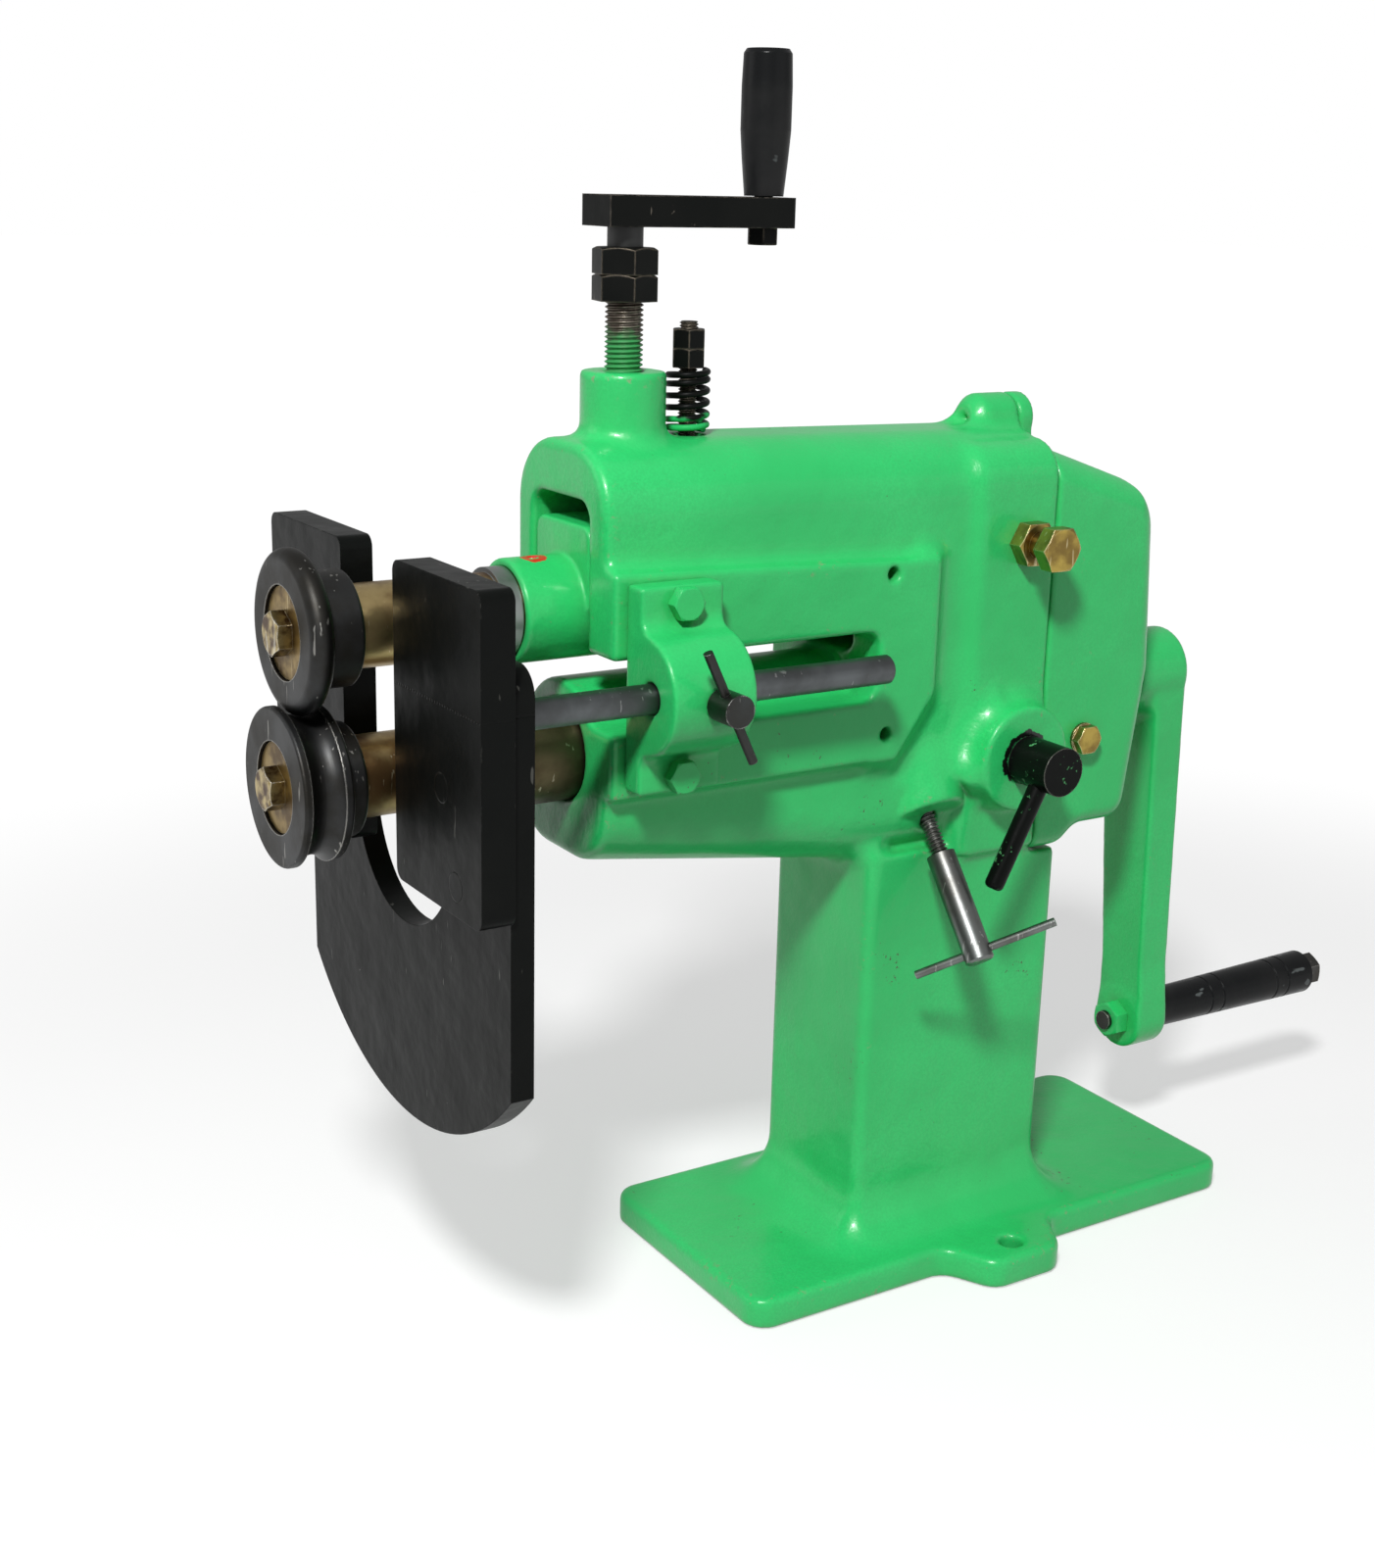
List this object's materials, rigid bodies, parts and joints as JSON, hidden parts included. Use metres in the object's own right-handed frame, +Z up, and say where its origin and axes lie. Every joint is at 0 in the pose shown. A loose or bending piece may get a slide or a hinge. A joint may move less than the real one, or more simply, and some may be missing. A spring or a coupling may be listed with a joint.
{
  "type": "sheet metal swaging machine",
  "caption": "Bench swaging machine: grooved rolls on geared shafts in a cast frame on a pedestal base, with a pressing screw, sliding work gauge and drive crank.",
  "frame": {"origin": "centre of the base's flat underside, on the machine's middle plane, midway between its front and rear edges", "axes": "+Z up, +X rearwards along the roll shafts from the rolls to the drive crank, the work gauge's rod on the -Y side"},
  "size_m": [0.6239, 0.2014, 0.5561],
  "materials": {
    "green_enamel": "gloss brushed enamel over a rough casting",
    "black_enamel": "gloss black enamel, chipped at edges",
    "roll_steel": "dark, handled steel with a satin sheen",
    "machined_steel": "turned steel, lightly oiled",
    "brass_fittings": "worn yellow plating",
    "bronze": "bored bronze",
    "black_grip": "smooth black moulding",
    "grip_steel": "dark turned steel"
  },
  "bodies": {
    "frame": {"frame_casting": "green_enamel", "gear_cover": "green_enamel", "cover_bolts": "green_enamel", "cover_bush": "bronze", "oil_plug": "brass_fittings", "pivot_screws": "brass_fittings", "pivot_locknuts": "brass_fittings", "gauge_bracket": "green_enamel", "bracket_bolts": "green_enamel", "lift_spring": "black_enamel"},
    "upper_barrel": {"upper_barrel": "green_enamel", "barrel_bushes": "bronze", "lift_stud": "black_enamel", "lift_nuts": "black_enamel"},
    "upper_shaft": {"upper_shaft": "machined_steel", "upper_roll": "roll_steel", "upper_roll_spacer": "roll_steel", "upper_roll_washer": "brass_fittings", "upper_roll_bolt": "brass_fittings", "upper_roll_key": "machined_steel", "upper_gear": "machined_steel", "upper_gear_key": "machined_steel", "upper_gear_nut": "machined_steel"},
    "lower_quill": {"lower_quill": "machined_steel", "quill_bushes": "bronze"},
    "lower_shaft": {"lower_shaft": "machined_steel", "lower_roll": "roll_steel", "lower_roll_spacer": "roll_steel", "lower_roll_washer": "brass_fittings", "lower_roll_bolt": "brass_fittings", "lower_roll_key": "machined_steel", "lower_gear": "machined_steel", "lower_gear_key": "machined_steel", "lower_gear_nut": "machined_steel", "crank_arm": "green_enamel", "crank_key": "machined_steel", "grip_bolt": "grip_steel", "grip_nut": "green_enamel"},
    "crank_grip": {"crank_grip": "black_grip"},
    "thrust_pad": {"thrust_pad": "machined_steel"},
    "pressing_screw": {"pressing_screw": "machined_steel", "stop_nuts": "black_enamel", "top_crank_arm": "black_enamel", "top_grip_pin": "black_enamel"},
    "top_grip": {"top_grip": "black_grip"},
    "gauge": {"gauge_rod": "machined_steel", "gauge_back_plate": "black_enamel", "gauge_face_plates": "black_enamel", "gauge_plate_screws": "machined_steel"},
    "gauge_clamp": {"gauge_clamp_screw": "machined_steel", "gauge_clamp_bar": "machined_steel"},
    "quill_clamp": {"quill_clamp_screw": "machined_steel", "clamp_bar": "machined_steel"},
    "eccentric": {"eccentric_shaft": "black_enamel", "eccentric_lever": "black_enamel"}
  },
  "joints": [
    {"name": "barrel_swing", "type": "hinge", "parent": "frame", "child": "upper_barrel", "pos_m": [0.003, 0, 0.349], "axis": [0, 1, 0], "range_deg": [0, 1.66], "deforming": ["lift_spring"]},
    {"name": "upper_shaft_turn", "type": "hinge", "parent": "upper_barrel", "child": "upper_shaft", "pos_m": [0, 0, 0.331], "axis": [1, 0, 0], "continuous": true},
    {"name": "quill_slide", "type": "slide", "parent": "frame", "child": "lower_quill", "axis": [1, 0, 0], "range_m": [-0.001, 0.001]},
    {"name": "crank_turn", "type": "hinge", "parent": "lower_quill", "child": "lower_shaft", "pos_m": [0, 0, 0.269], "axis": [1, 0, 0], "continuous": true},
    {"name": "crank_grip_turn", "type": "hinge", "parent": "lower_shaft", "child": "crank_grip", "pos_m": [0.2, 0, 0.0765], "axis": [1, 0, 0], "continuous": true},
    {"name": "screw_feed", "type": "slide", "parent": "frame", "child": "thrust_pad", "axis": [0, 0, 1], "range_m": [0, 0.0055]},
    {"name": "screw_turn", "type": "hinge", "parent": "thrust_pad", "child": "pressing_screw", "pos_m": [-0.1865, 0, 0.44], "axis": [0, 0, 1], "range_deg": [0, 990]},
    {"name": "top_grip_turn", "type": "hinge", "parent": "pressing_screw", "child": "top_grip", "pos_m": [-0.1195, 0, 0.52], "axis": [0, 0, 1], "continuous": true},
    {"name": "gauge_slide", "type": "slide", "parent": "frame", "child": "gauge", "axis": [1, 0, 0], "range_m": [-0.018, 0.06]},
    {"name": "gauge_clamp_turn", "type": "hinge", "parent": "frame", "child": "gauge_clamp", "pos_m": [-0.19, -0.09, 0.305], "axis": [0, -1, 0], "range_deg": [0, 360]},
    {"name": "quill_clamp_turn", "type": "hinge", "parent": "frame", "child": "quill_clamp", "pos_m": [-0.0415, 0, 0.269], "axis": [0, -0.6157, -0.788], "range_deg": [0, 360]},
    {"name": "eccentric_turn", "type": "hinge", "parent": "frame", "child": "eccentric", "pos_m": [0, 0, 0.2502], "axis": [0, 1, 0], "range_deg": [-40, 40]}
  ],
  "couplings": [
    {"joint": "upper_shaft_turn", "follows": "crank_turn", "ratio": -1},
    {"joint": "screw_feed", "follows": "screw_turn", "m_per_rad": 0.0003183},
    {"joint": "barrel_swing", "follows": "screw_turn", "ratio": 0.001674},
    {"joint": "quill_slide", "follows": "eccentric_turn", "m_per_rad": -0.001432}
  ]
}
